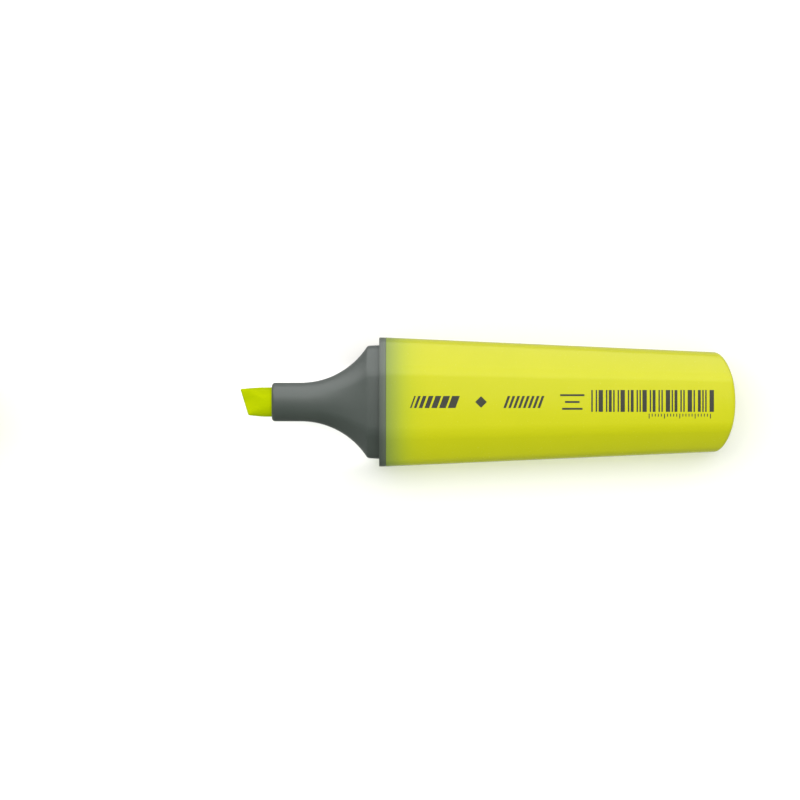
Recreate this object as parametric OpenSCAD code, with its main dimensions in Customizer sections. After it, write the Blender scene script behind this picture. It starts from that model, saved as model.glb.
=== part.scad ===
// Chisel-tip highlighter: a flat tapered barrel, a flared nose with a felt nib,
// a wrapped fibre ink reservoir, and a push-on cap with grip ribs and a clip.
// X runs along the pen from the nib to the rear end, Y across its width and Z up
// through its wide faces. The origin lies on the flat underside, below the middle
// of the barrel. The cap is drawn pulled off, in line with the pen.

/* [Barrel] */
// Length of the barrel from its front face to the tip of its rear end
barrel_l = 71.85; // [62:0.05:85]
// Width of the barrel at its front face
barrel_w = 26.7; // [25:0.1:30]
// Thickness of the pen between its two wide faces
barrel_t = 16.5; // [15.5:0.1:19]
// Width of each flat face at the front of the barrel
flat_w = 13.9; // [11:0.1:16]
// Height of each narrow side
side_h = 6; // [4:0.1:8]
// Lean of each narrow side towards the rear, in degrees
barrel_taper = 2.56; // [1:0.02:3.4]
// Wall of the barrel
barrel_wall = 1.1; // [0.8:0.05:1.4]
// Wall at the rear end of the barrel
rear_wall = 1.6; // [1:0.1:2.5]
// Depth of the bowed rear end
rear_bow = 4.7; // [3:0.1:7]
// Radius of the edge round the rear end
rear_edge_r = 1.2; // [0.5:0.1:2]
// Radius of the soft creases along the barrel and cap
crease_r = 2; // [1:0.1:2.6]

/* [Nose] */
// Length of the collar that stays in view between barrel and cap
collar_l = 1.4; // [1:0.1:3]
// Step down from the collar to the shoulder
collar_step = 1.6; // [1.2:0.05:1.9]
// Length of the shoulder that guides the cap's mouth
shoulder_l = 2.4; // [1.5:0.05:5]
// Length of the flare from the shoulder to the round tube
flare_l = 13.8; // [11:0.1:18]
// Length of the round tube in front of the flare
tube_l = 6; // [4.6:0.05:8]
// Wall of the round tube round the nib
tube_wall = 0.9; // [0.7:0.05:1.3]
// Wall of the hollow nose
nose_wall = 1.2; // [0.9:0.05:1.4]
// Length of the spigot that plugs into the barrel
spigot_l = 6; // [4:0.1:12]
// Wall of the spigot
spigot_wall = 0.9; // [0.7:0.05:1.2]

/* [Nib and ink] */
// Diameter of the felt nib
nib_d = 6.15; // [5:0.05:7]
// Length of nib that stands out of the tube
nib_out = 6.35; // [4.5:0.05:6.8]
// Length of nib that dips into the reservoir
nib_dip = 3; // [2:0.1:8]
// Slant of the writing edge, measured along the pen
nib_slant = 1.7; // [0.5:0.1:3]
// Thickness of the writing edge
nib_edge_t = 1.9; // [1:0.1:3]
// Length of the full round nib in front of the tube
nib_round_l = 2; // [0.5:0.1:2.4]
// Thickness of the film round the reservoir
film_t = 0.15; // [0.1:0.05:0.3]

/* [Cap] */
// Length of the cap from its mouth to the tip of its dome
cap_l = 34.4; // [33.6:0.1:38]
// Length of the cap's dome
dome_l = 14; // [11:0.1:16]
// Lean of each narrow side of the cap towards its tip, in degrees
cap_taper = 3.2; // [1:0.1:4]
// Number of grip ribs on each narrow side
rib_count = 8; // [4:1:9]
// Distance from one grip rib to the next
rib_pitch = 1.9; // [1.6:0.1:2]
// Height of the grip ribs
rib_h = 0.35; // [0.2:0.05:0.5]
// Width of the clip
clip_w = 13.3; // [9:0.1:15]
// Reach of the clip past the cap's mouth
clip_reach = 19.3; // [12:0.1:26]
// Distance from the tip of the dome to the front of the clip
clip_setback = 9; // [8:0.1:11]
// Thickness of the clip
clip_t = 1.5; // [1.2:0.1:2.2]
// Height of the crown across the top of the clip
clip_crown = 0.4; // [0.2:0.05:0.6]
// Gap between the clip and the face below it
clip_gap = 0.9; // [0.6:0.1:1.6]
// Radius of the clip's corners, seen from above
clip_corner_r = 4.5; // [2:0.1:5]
// Wall of the inner sealing cap
inner_cap_wall = 1.1; // [0.8:0.05:1.2]
// Distance that the cap is pulled off, from closed
cap_travel = 101.3; // [60:0.1:140]

/* [Fits] */
// Clearance of the spigot inside the barrel
spigot_fit = 0.05; // [0.02:0.01:0.1]
// Clearance of the nib inside the tube
nib_fit = 0.03; // [0.02:0.01:0.1]
// Clearance of the film round the reservoir and inside its seats
film_fit = 0.02; // [0.01:0.01:0.1]
// Clearance of the cap's mouth round the shoulder
cap_fit = 0.2; // [0.1:0.05:0.3]
// Clearance of the inner cap's bore round the tube
seal_fit = 0.05; // [0.02:0.01:0.1]
// Gap between the closed cap and the collar
mouth_gap = 0.1; // [0.05:0.05:0.3]
// Clearance below the bead at the end of the clip
bead_gap = 0.35; // [0.3:0.05:0.5]

/* [Hidden] */
$fn = 96;

barrel_color = [0.86, 0.88, 0.18];
nose_color = [0.38, 0.41, 0.39];
nib_color = [0.71, 0.80, 0.05];
ink_color = [0.80, 0.84, 0.10];
film_color = [0.90, 0.92, 0.85];
seal_color = [0.85, 0.87, 0.80];

// Cutting tools and merged pieces run this far past the face they cross
over = 0.5;

// The pen's own frame has its axis at y = z = 0 and the barrel's front face at x = 0.
half_w = barrel_w / 2;
half_t = barrel_t / 2;
front = [half_w, half_t, flat_w / 2, side_h / 2];

collar_x = -collar_l;
shoulder_x = collar_x - shoulder_l;
flare_x = shoulder_x - flare_l;
tube_x = flare_x - tube_l;
nib_tip_x = tube_x - nib_out;

nib_r = nib_d / 2;
bore_r = nib_r + nib_fit;
tube_r = bore_r + tube_wall;
tube_edge_r = 0.7;

// The rear end bows along an ellipse that is a little wider than the barrel there
rear_overhang = 0.45;
bow_x = barrel_l - rear_bow;
bow_half_w = half_w_at(bow_x) + rear_overhang;
rear_corner_x = bow_x + rear_bow * sqrt(1 - pow(half_w_at(bow_x) / bow_half_w, 2));

// The spigot's inside carries the reservoir between the barrel's wide faces
film_r = half_t - barrel_wall - spigot_fit - spigot_wall - film_fit;
reservoir_r = film_r - film_t - film_fit;
reservoir_x = over / 2;
rear_space = 4;
reservoir_end_x = bow_x - rear_space;
rib_t = 1.2;
rear_rib_l = 14;

// The cap's wall fills the step between shoulder and collar, less its clearance
cap_wall = collar_step - cap_fit;
cap_mouth_x = collar_x - mouth_gap;
cap_tip_x = cap_mouth_x - cap_l;
dome_wall = 1.6;
dome_power = 2.6;
rib_start = 11.4;
rib_top_l = 0.6;
rib_flank_l = 0.25;
// The clip rises from the dome, runs level over a gap and ends in a bead
clip_end_x = collar_x + clip_reach;
clip_front_x = cap_tip_x + clip_setback;
clip_low = half_t + clip_gap;
clip_top = clip_low + clip_t;
clip_root_l = 9;
clip_rise_l = 8;
clip_sink = 0.8 * cap_wall;
clip_bead_l = 4;
clip_lip = 0.6;

// The inner cap reaches from ahead of the nib to part way down the tube
seal_r = tube_r + seal_fit;
seal_lead = 0.6;
inner_cap_r = seal_r + inner_cap_wall;
nib_space = 1;
chamber_x = nib_tip_x - nib_space;
inner_cap_x = chamber_x - inner_cap_wall;
inner_cap_end_x = flare_x - 1.4;
inner_cone_l = 2;
inner_cone_h = 1.2;
socket_fit = 0.03;
socket_r = inner_cap_r + 1.2;
socket_grip_l = 3.6;
socket_end_x = inner_cap_x + inner_cone_l + socket_grip_l;

// Extra points on the sides, bevels and flats of a section, counted from the +Y side
edge_points = [1, 2, 5, 2, 1, 2, 5, 2];
corner_steps = 2;

// ---- Sections -------------------------------------------------------------
// A section is [half width, half thickness, half width of the flat, half height of the side].

// Half width of the barrel at a distance from its front face
function half_w_at(x) = half_w - x * tan(barrel_taper);

// Section of the barrel at a distance from its front face
function barrel_section(x) = fitted(front, half_w_at(x), half_t);

// Section moved inwards by d on every side, or outwards where d is negative
function inset(h, d) =
    let (
        beta = bevel(h),
        reach = cos(beta) * h[2] + sin(beta) * h[1] - d,
        flat = (reach - sin(beta) * (h[1] - d)) / cos(beta),
        side = (reach - cos(beta) * (h[0] - d)) / sin(beta)
    )
    [h[0] - d, h[1] - d, flat, side];

// Direction that the bevels face, from the Y axis
function bevel(h) = atan2(h[0] - h[2], h[1] - h[3]);

// Section scaled to another half width and half thickness
function fitted(h, a, b) = [a, b, h[2] * a / h[0], h[3] * b / h[1]];

// Arc of radius r that rounds the corner v between edges facing from and to
function corner(v, from, to, r) =
    let (mid = (from + to) / 2, back = r / cos((to - from) / 2))
    [for (i = [0:corner_steps])
        let (a = from + (to - from) * i / corner_steps)
        v + r * [cos(a), sin(a)] - back * [cos(mid), sin(mid)]];

// n points between p and q
function between(p, q, n) = [for (i = [1:n]) p + (q - p) * i / (n + 1)];

// Outline of a section with its corners rounded
function outline(h, r) =
    let (
        beta = bevel(h),
        faces = [0, beta, 90, 180 - beta, 180, 180 + beta, 270, 360 - beta],
        points = [
            [h[0], -h[3]], [h[0], h[3]], [h[2], h[1]], [-h[2], h[1]],
            [-h[0], h[3]], [-h[0], -h[3]], [-h[2], -h[1]], [h[2], -h[1]]
        ],
        arcs = [for (k = [0:7]) corner(points[k], k == 0 ? -beta : faces[k - 1], faces[k], r)]
    )
    [for (k = [0:7])
        each concat(arcs[k], between(arcs[k][corner_steps], arcs[(k + 1) % 8][0], edge_points[k]))];

// Outline that turns from an ellipse at t = 0 into the eight-sided section at t = 1
function morph(h, r, t) =
    [for (p = outline(h, r))
        let (a = atan2(p[1] / h[1], p[0] / h[0]))
        (1 - t) * [h[0] * cos(a), h[1] * sin(a)] + t * p];

// Outline placed across the pen at x
function ring(points, x) = [for (p = points) [x, p[0], p[1]]];

// Closed skin over a row of rings, each with the same number of points. Its end faces
// start at point 1, in the middle of a rounded corner, so that they fan out cleanly.
module skin(rings) {
    n = len(rings[0]);
    last = len(rings) - 1;
    polyhedron(
        points = [for (points = rings) each points],
        faces = concat(
            [[for (j = [1:n]) j % n]],
            [for (i = [0:last - 1], j = [0:n - 1])
                let (k = (j + 1) % n)
                each [[i * n + j, (i + 1) * n + j, (i + 1) * n + k],
                      [i * n + j, (i + 1) * n + k, i * n + k]]],
            [[for (j = [n:-1:1]) last * n + j % n]]
        ),
        convexity = 6
    );
}

// Turns a shape's Z axis along the pen
module along_x() {
    rotate([0, 90, 0]) children();
}

// Cylinder along the pen from x0 to x1
module rod(x0, x1, r) {
    translate([x0, 0, 0]) along_x() cylinder(h = x1 - x0, r = r);
}

// Plate of thickness t, level with the axis, from an outline seen from above
module level_plate(points, t) {
    translate([0, 0, -t / 2]) linear_extrude(t) polygon(points);
}

// Stands the pen on its flat underside, with the origin below its middle
module pen_place() {
    translate([-barrel_l / 2, 0, half_t]) children();
}

// The cap's rest place, pulled off along the pen
module cap_place() {
    translate([-cap_travel, 0, 0]) pen_place() children();
}

// ---- Barrel ---------------------------------------------------------------

// Where the bowed rear end lies at a distance y from the axis
function rear_x(y) = bow_x + rear_bow * sqrt(1 - pow(y / bow_half_w, 2));

// Outline wrapped onto the bowed rear end, set back by d
function bowed(points, d) = [for (p = points) [rear_x(p[0]) - d, p[0], p[1]]];

module barrel_shell() {
    rear = barrel_section(rear_corner_x);
    rear_edge = inset(rear, rear_edge_r);
    inner_r = crease_r / 2;
    inner_rear = outline(inset(rear, barrel_wall), inner_r);
    outer_rear = outline(rear_edge, crease_r - rear_edge_r / 2);
    skin(concat(
        [for (f = [0.1, 0.5, 0.8, 1]) bowed(inner_rear * f, rear_wall)],
        [ring(outline(inset(front, barrel_wall), inner_r), 0)],
        [ring(outline(front, crease_r), 0)],
        [for (a = [0:30:90])
            bowed(
                outline(inset(rear, rear_edge_r * (1 - cos(a))), crease_r - rear_edge_r / 2 * sin(a)),
                rear_edge_r * (1 - sin(a))
            )],
        [for (f = [0.8, 0.55, 0.3, 0.1]) bowed(outer_rear * f, 0)]
    ));
}

// Ribs beside the rear of the reservoir, joined across the axis as its stop
module rear_ribs() {
    x0 = reservoir_end_x - rear_rib_l;
    stop_x = reservoir_end_x + over / 2;
    end_x = barrel_l - rear_wall / 2;
    rib_y = film_r + film_fit;
    for (side = [-1, 1])
        level_plate([
            [x0, side * rib_y], [stop_x, side * rib_y], [stop_x, 0], [end_x, 0],
            [rear_x(rib_y) - rear_wall / 2, side * rib_y],
            [rear_corner_x - rear_wall, side * (half_w_at(rear_corner_x) - barrel_wall / 2)],
            [x0, side * (half_w_at(x0) - barrel_wall / 2)]
        ], rib_t);
}

// Low ribs between the reservoir and the two wide faces
module face_ribs() {
    x0 = reservoir_end_x - rear_rib_l;
    rib_y = film_r + film_fit;
    for (side = [-1, 1])
        rotate([90, 0, 0]) level_plate([
            [x0, side * rib_y], [reservoir_end_x, side * rib_y],
            [reservoir_end_x, side * (half_t - barrel_wall / 2)], [x0, side * (half_t - barrel_wall / 2)]
        ], rib_t);
}

module barrel() {
    color(barrel_color) pen_place() {
        barrel_shell();
        rear_ribs();
        face_ribs();
    }
}

// ---- Nose -----------------------------------------------------------------

shoulder = inset(front, collar_step);
shoulder_draft = 0.12;
shoulder_front = inset(shoulder, shoulder_draft);
nose_crease_r = 1.2;
soft = 0.3;

// Concave arc that leaves the tube along the axis and rises by h over the flare
function flare_rise(x, h) =
    let (r = (pow(flare_l, 2) + pow(h, 2)) / (2 * h))
    r - sqrt(pow(r, 2) - pow(x - flare_x, 2));

function flare_section(x) = fitted(
    shoulder_front,
    tube_r + flare_rise(x, shoulder_front[0] - tube_r),
    tube_r + flare_rise(x, shoulder_front[1] - tube_r)
);

// Outline of the flare at x, inset by d
function flare_outline(x, d) =
    let (share = (x - flare_x) / flare_l, h = flare_section(x))
    morph([h[0] - d, h[1] - d, h[2] * (1 - d / h[0]), h[3] * (1 - d / h[1])],
          nose_crease_r * (1 + 2 * share) / 3, pow(share, 1.5));

// Outline of the spigot at x, inset by d from the face that meets the barrel
function spigot_outline(x, d) =
    outline(inset(barrel_section(x), barrel_wall + spigot_fit + d), nose_crease_r);

module nose_body() {
    tube_start = [for (p = flare_outline(flare_x + soft, 0)) p * (1 - 0.01)];
    skin(concat(
        [ring(tube_start, flare_x + soft)],
        [for (i = [1:9]) let (x = flare_x + flare_l * i / 10) ring(flare_outline(x, 0), x)],
        [ring(outline(shoulder_front, nose_crease_r), shoulder_x)],
        [ring(outline(shoulder, nose_crease_r), collar_x)],
        [ring(outline(inset(front, soft), crease_r), collar_x)],
        [ring(outline(front, crease_r), collar_x + soft)],
        [ring(outline(front, crease_r), 0)],
        [ring(spigot_outline(0, 0), 0)],
        [ring(spigot_outline(spigot_l - soft, 0), spigot_l - soft)],
        [ring(spigot_outline(spigot_l, soft), spigot_l)]
    ));
}

// Hollow behind the nib's bore, open at the spigot
module nose_hollow() {
    start = flare_x + flare_l * 0.45;
    skin(concat(
        [for (i = [0:4])
            let (x = start + (shoulder_x - start) * i / 4) ring(flare_outline(x, nose_wall), x)],
        [ring(outline(inset(shoulder, nose_wall), nose_crease_r / 2), collar_x)],
        [ring(spigot_outline(0, spigot_wall), 0)],
        [ring(spigot_outline(spigot_l + over, spigot_wall), spigot_l + over)]
    ));
}

module nose_tube() {
    along_x() rotate_extrude() polygon(concat(
        [[0, tube_x]],
        [for (a = [0:15:90])
            [tube_r - tube_edge_r * (1 - sin(a)), tube_x + tube_edge_r * (1 - cos(a))]],
        [[tube_r, flare_x + flare_l / 5], [0, flare_x + flare_l / 5]]
    ));
}

// Ribs that centre the front of the reservoir and stop it at the collar
module spigot_ribs() {
    rib_y = film_r + film_fit;
    stop_y = nib_r + 1;
    wall_y = half_w_at(spigot_l) - barrel_wall - spigot_fit - spigot_wall / 2;
    for (side = [-1, 1])
        level_plate([
            [shoulder_x + over, side * stop_y], [0, side * stop_y], [0, side * rib_y],
            [spigot_l - soft, side * rib_y], [spigot_l - soft, side * wall_y], [0, side * wall_y],
            [shoulder_x + over, side * (shoulder_front[0] - nose_wall / 2)]
        ], rib_t);
}

module nose_section() {
    color(nose_color) pen_place() {
        difference() {
            union() {
                nose_body();
                nose_tube();
            }
            nose_hollow();
            rod(tube_x - over, flare_x + flare_l / 2, bore_r);
        }
        spigot_ribs();
    }
}

// ---- Nib and ink ----------------------------------------------------------

module nib() {
    tail_x = reservoir_x + nib_dip;
    cut_x = tube_x - nib_round_l;
    tip_half_w = nib_r - 0.35;
    color(nib_color) pen_place() intersection() {
        rod(nib_tip_x - over, tail_x, nib_r);
        level_plate([
            [nib_tip_x, tip_half_w], [cut_x, nib_r], [tail_x + over, nib_r], [tail_x + over, -nib_r],
            [cut_x, -nib_r], [nib_tip_x + nib_slant, -tip_half_w]
        ], nib_d);
        rotate([90, 0, 0]) level_plate([
            [nib_tip_x, nib_edge_t / 2], [cut_x, nib_r], [tail_x + over, nib_r],
            [tail_x + over, -nib_r], [cut_x, -nib_r], [nib_tip_x, -nib_edge_t / 2]
        ], nib_d);
    }
}

module ink_reservoir() {
    color(ink_color) pen_place() difference() {
        rod(reservoir_x, reservoir_end_x, reservoir_r);
        rod(reservoir_x - over, reservoir_x + nib_dip + nib_fit, nib_r + nib_fit);
    }
}

module reservoir_film() {
    color(film_color) pen_place() difference() {
        rod(reservoir_x, reservoir_end_x, film_r);
        rod(reservoir_x - over, reservoir_end_x + over, reservoir_r + film_fit);
    }
}

// ---- Cap ------------------------------------------------------------------

// Fullness of the dome at a distance s from its tip, from 0 to 1
function dome(s, power) = s >= dome_l ? 1 : pow(1 - pow(1 - s / dome_l, power), 1 / power);

// Half width of the cap's sides at s from the tip, before the dome rounds them
function cap_half_w(s) = half_w - (cap_l - max(s, dome_l)) * tan(cap_taper);

function cap_section(s) = fitted(front, cap_half_w(s) * dome(s, 2), half_t * dome(s, dome_power));

// Share of the eight-sided shape, which fades out towards the tip
function cap_share(s) = min(1, 0.3 + 0.7 * s / dome_l);

// Ring of the cap's outside at s, raised by rise along the grip areas
function cap_ring(s, rise) =
    let (
        h = cap_section(s),
        r = crease_r * min(1, h[0] / half_w, h[1] / half_t),
        low = morph(h, r, cap_share(s)),
        high = morph(inset(h, -rise), r, cap_share(s))
    )
    [for (i = [0:len(low) - 1])
        let (
            t = min(1, max(0, (abs(low[i][0]) / h[0] - 0.6) / 0.12)),
            p = low[i] + (high[i] - low[i]) * t * t * (3 - 2 * t)
        )
        [cap_tip_x + s, p[0], p[1]]];

// Ring inside the cap at the angle a round the dome, from the tip. The wall there is
// cap_wall thick, less grow.
function cap_inner_ring(a, grow) =
    let (
        h = cap_section(dome_l),
        u = cos(a),
        points = morph(
            fitted(inset(h, cap_wall), (h[0] - cap_wall + grow) * sin(a),
                   (h[1] - cap_wall + grow) * pow(1 - pow(u, dome_power), 1 / dome_power)),
            crease_r / 2 * sin(a), cap_share(dome_l * (1 - u))
        )
    )
    ring(points, cap_tip_x + dome_l - (dome_l - dome_wall + grow) * u);

module cap_shell() {
    mouth = inset(front, cap_wall);
    skin(concat(
        [for (a = [7:11.5:76]) cap_ring(dome_l * (1 - cos(a)), 0)],
        [for (i = [0:rib_count - 1])
            let (s = rib_start + rib_pitch * i)
            each [
                cap_ring(s, 0), cap_ring(s + rib_flank_l, rib_h),
                cap_ring(s + rib_flank_l + rib_top_l, rib_h), cap_ring(s + 2 * rib_flank_l + rib_top_l, 0)
            ]],
        [cap_ring(cap_l - soft, 0)],
        [ring(outline(inset(front, soft), crease_r), cap_mouth_x)],
        [ring(outline(mouth, crease_r / 2), cap_mouth_x)],
        [for (a = [90:-16:10]) cap_inner_ring(a, 0)]
    ));
}

// Flat shape of the clip, seen from above
module clip_plan() {
    l = clip_end_x - clip_front_x;
    r = clip_corner_r;
    translate([clip_front_x, -clip_w / 2]) {
        translate([r, 0]) square([l - 2 * r, clip_w]);
        translate([0, r]) square([l, clip_w - 2 * r]);
        for (x = [r, l - r], y = [r, clip_w - r]) translate([x, y]) circle(r);
    }
}

// Side of the clip
module clip_profile() {
    root_x = clip_front_x + clip_root_l;
    rise_z = half_t - clip_sink / 2;
    polygon(concat(
        [[clip_front_x, half_t - clip_sink]],
        [for (a = [0:10:90])
            [clip_front_x + clip_rise_l * (1 - cos(a)), rise_z + (clip_top - rise_z) * sin(a)]],
        [[clip_end_x - clip_lip, clip_top], [clip_end_x, clip_top - clip_lip]],
        [for (a = [0:15:180])
            [clip_end_x - clip_bead_l / 2 * (1 - cos(a)), clip_low - (clip_gap - bead_gap) * sin(a)]],
        [[root_x + clip_gap, clip_low], [root_x, half_t + clip_gap / 3], [root_x, rise_z]]
    ));
}

module clip() {
    crown_r = (pow(clip_w / 2, 2) + pow(clip_crown, 2)) / (2 * clip_crown);
    intersection() {
        translate([0, 0, half_t - clip_sink]) linear_extrude(clip_sink + clip_top) clip_plan();
        translate([0, 0, clip_top - crown_r])
            rod(clip_front_x - over, clip_end_x + over, crown_r, $fn = 4 * $fn);
        translate([0, clip_w, 0]) rotate([90, 0, 0]) linear_extrude(2 * clip_w) clip_profile();
    }
}

// Socket that stands up from the inside of the dome and grips the inner cap
module inner_cap_socket() {
    intersection() {
        rod(cap_tip_x, socket_end_x, socket_r);
        skin([for (a = [10:16:90]) cap_inner_ring(a, cap_wall / 2)]);
    }
}

// Shape of the inner cap's outside, grown by d
module inner_cap_solid(d) {
    front_r = inner_cap_r - inner_cone_h + d;
    along_x() rotate_extrude() polygon([
        [0, inner_cap_x - d], [front_r, inner_cap_x - d], [inner_cap_r + d, inner_cap_x + inner_cone_l],
        [inner_cap_r + d, inner_cap_end_x + d], [0, inner_cap_end_x + d]
    ]);
}

module cap() {
    color(barrel_color) cap_place() difference() {
        union() {
            cap_shell();
            clip();
            inner_cap_socket();
        }
        inner_cap_solid(socket_fit);
    }
}

module inner_cap() {
    chamber_r = nib_r + 0.3;
    seal_x = tube_x - seal_lead;
    color(seal_color) cap_place() difference() {
        inner_cap_solid(0);
        along_x() rotate_extrude() polygon([
            [0, chamber_x], [chamber_r, chamber_x], [chamber_r, seal_x - seal_lead], [seal_r, seal_x],
            [seal_r, inner_cap_end_x - seal_lead], [seal_r + seal_lead, inner_cap_end_x],
            [seal_r + seal_lead, inner_cap_end_x + over], [0, inner_cap_end_x + over]
        ]);
    }
}

barrel();
nose_section();
nib();
ink_reservoir();
reservoir_film();
cap();
inner_cap();
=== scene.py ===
# %% [markdown]
# # A chisel-tip highlighter, pulled out of its cap
# The pen lies flat on one of its wide faces, with its cap pulled off and laid in line
# ahead of it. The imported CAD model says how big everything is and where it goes, so
# this script only gives each piece its finished shape and its finish. Lengths are
# written in millimetres and turned into metres once, because Blender works in metres.

# %% Load the frame
import math
from contextlib import contextmanager

import bmesh
import bpy
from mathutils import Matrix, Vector


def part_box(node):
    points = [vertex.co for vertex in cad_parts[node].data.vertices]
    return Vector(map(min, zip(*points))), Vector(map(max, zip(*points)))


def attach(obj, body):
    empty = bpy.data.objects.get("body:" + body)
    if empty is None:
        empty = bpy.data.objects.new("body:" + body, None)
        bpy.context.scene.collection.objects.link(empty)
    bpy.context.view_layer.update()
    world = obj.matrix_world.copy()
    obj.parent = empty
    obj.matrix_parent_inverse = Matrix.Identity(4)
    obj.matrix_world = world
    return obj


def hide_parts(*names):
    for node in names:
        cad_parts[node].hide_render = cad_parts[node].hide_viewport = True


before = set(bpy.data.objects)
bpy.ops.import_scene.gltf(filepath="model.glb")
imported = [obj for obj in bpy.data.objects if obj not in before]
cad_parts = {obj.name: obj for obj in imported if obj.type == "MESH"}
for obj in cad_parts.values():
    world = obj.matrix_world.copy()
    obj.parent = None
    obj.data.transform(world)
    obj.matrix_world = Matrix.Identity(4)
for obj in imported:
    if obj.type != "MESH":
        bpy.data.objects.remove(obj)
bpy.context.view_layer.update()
MM = 0.001

# %% Places taken from the frame
barrel_low, barrel_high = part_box("barrel")
nose_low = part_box("nose_section")[0]
nib_low, nib_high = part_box("nib")
cap_low, cap_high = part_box("cap")
axis_z = (barrel_low.z + barrel_high.z) / 2
front_x = barrel_low.x
rear_x = barrel_high.x
half_w = barrel_high.y
half_t = (barrel_high.z - barrel_low.z) / 2
print(f"barrel from {front_x / MM:.2f} to {rear_x / MM:.2f} mm, axis at {axis_z / MM:.2f} mm")

# %% [markdown]
# ## Working by hand, from code
# Every shape below is made as it would be with a mouse: add a primitive, go into edit
# mode, pick faces, extrude, scale, bevel. Code can't click on a face, so `pick` selects
# by a test on each face, edge or vertex. Selecting nothing first matters, because an
# operator acts on all that is selected, in every object that is being edited.

# %% Helpers for edit mode
NEAR = 0.02 * MM
WELD = 0.001 * MM


def only(piece):
    """Selects one piece and nothing else, and makes it the active one."""
    bpy.ops.object.select_all(action="DESELECT")
    bpy.context.view_layer.objects.active = piece
    piece.select_set(True)


@contextmanager
def editing(piece):
    """Goes into edit mode on one piece, with nothing selected, and comes out again."""
    only(piece)
    bpy.ops.object.mode_set(mode="EDIT")
    bpy.ops.mesh.select_all(action="DESELECT")
    yield bmesh.from_edit_mesh(piece.data)
    bpy.ops.object.mode_set(mode="OBJECT")


def pick(kind, test):
    """Selects the faces, edges or verts of the piece in edit mode that pass a test."""
    piece = bpy.context.edit_object
    bpy.ops.mesh.select_mode(type={"faces": "FACE", "edges": "EDGE", "verts": "VERT"}[kind])
    bpy.ops.mesh.select_all(action="DESELECT")
    mesh = bmesh.from_edit_mesh(piece.data)
    chosen = [part for part in getattr(mesh, kind) if test(part)]
    for part in chosen:
        part.select_set(True)
    bmesh.update_edit_mesh(piece.data)
    return len(chosen)


def face_outwards():
    """Selects all faces of the piece in edit mode and turns them to look outwards."""
    bpy.ops.mesh.select_all(action="SELECT")
    bpy.ops.mesh.normals_make_consistent(inside=False)


def near(value, target):
    """Whether two places are the same, to a fiftieth of a millimetre."""
    return abs(value - target) < NEAR


def facing(face, axis, least=0.99):
    """Whether a face looks along an axis, such as (-1, 0, 0)."""
    return sum(a * b for a, b in zip(face.normal, axis)) > least


def edge_middle(edge):
    """The middle of an edge."""
    return (edge.verts[0].co + edge.verts[1].co) / 2


def modified(piece, kind, **settings):
    """Adds one modifier with its settings and applies it."""
    only(piece)
    modifier = piece.modifiers.new(kind.title(), kind)
    for name, value in settings.items():
        setattr(modifier, name, value)
    bpy.ops.object.modifier_apply(modifier=modifier.name)


def new_piece(name):
    """Names the primitive that was just added, and puts its place into its mesh."""
    piece = bpy.context.active_object
    piece.name = name
    piece.data.name = name
    only(piece)
    bpy.ops.object.transform_apply(location=True, rotation=True, scale=True)
    return piece


def open_edges(piece):
    """How many edges don't lie between exactly two faces: none, on a closed skin."""
    mesh = bmesh.new()
    mesh.from_mesh(piece.data)
    count = sum(not edge.is_manifold for edge in mesh.edges)
    mesh.free()
    return count


def shaded(piece, angle):
    """Smooth shading, broken at edges sharper than an angle in degrees."""
    only(piece)
    bpy.ops.object.shade_smooth_by_angle(angle=math.radians(angle))
    print(f"{piece.name}: {len(piece.data.polygons)} faces, {open_edges(piece)} open edges")


# %% [markdown]
# ## The eight-sided outline
# Barrel, nose and cap share one cross-section: a rectangle with its four corners cut
# off, and every crease softened. It is drawn once as a flat face across the pen. A
# plane gets its corners cut by a vertex bevel, a stretch in Y makes the cuts wider
# than they are high, and a second vertex bevel rounds the eight corners. Long edges
# are then divided. Last, the outline is squeezed to a square and pulled part of the
# way towards a circle, which crowns its flat sides a little, and is stretched back.

# %% Outline face
FLAT_W = 13.9 * MM
SIDE_H = 6.0 * MM
CREASE = 1.6 * MM
CREASE_STEPS = 8
CROWN = 0.4
POINT_GAP = 1.2 * MM
MOST_CUTS = 11


def outline_face(name, x):
    """A flat face with the barrel's front outline, across the pen at x, facing -X."""
    stretch = (2 * half_w - FLAT_W) / (2 * half_t - SIDE_H)
    centre = (x, 0, axis_z)
    bpy.ops.object.select_all(action="DESELECT")
    bpy.ops.mesh.primitive_plane_add(size=1, location=centre, rotation=(0, -math.pi / 2, 0))
    bpy.context.active_object.scale = (2 * half_t, 2 * half_w / stretch, 1)
    piece = new_piece(name)
    with editing(piece):
        bpy.ops.mesh.select_all(action="SELECT")
        bpy.ops.mesh.bevel(offset=(2 * half_t - SIDE_H) / 2, affect="VERTICES", segments=1)
        bpy.ops.transform.resize(value=(1, stretch, 1), center_override=centre)
        bpy.ops.mesh.bevel(offset=CREASE, affect="VERTICES", segments=CREASE_STEPS)
        bpy.ops.mesh.delete(type="ONLY_FACE")
        for cuts in range(MOST_CUTS, 0, -1):
            if pick("edges", lambda e: e.calc_length() > (cuts + 0.5) * POINT_GAP):
                bpy.ops.mesh.subdivide(number_cuts=cuts)
        bpy.ops.mesh.select_all(action="SELECT")
        bpy.ops.mesh.edge_face_add()
        bpy.ops.transform.resize(value=(1, half_t / half_w, 1), center_override=centre)
        bpy.ops.transform.tosphere(value=CROWN, center_override=centre)
        wide, thick = end_size()
        stretched = (1, half_w / wide, half_t / thick)
        bpy.ops.transform.resize(value=stretched, center_override=centre)
        facing_front = bmesh.from_edit_mesh(piece.data).faces[:][0].normal.x < 0
        if not facing_front:
            bpy.ops.mesh.flip_normals()
    return piece


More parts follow.
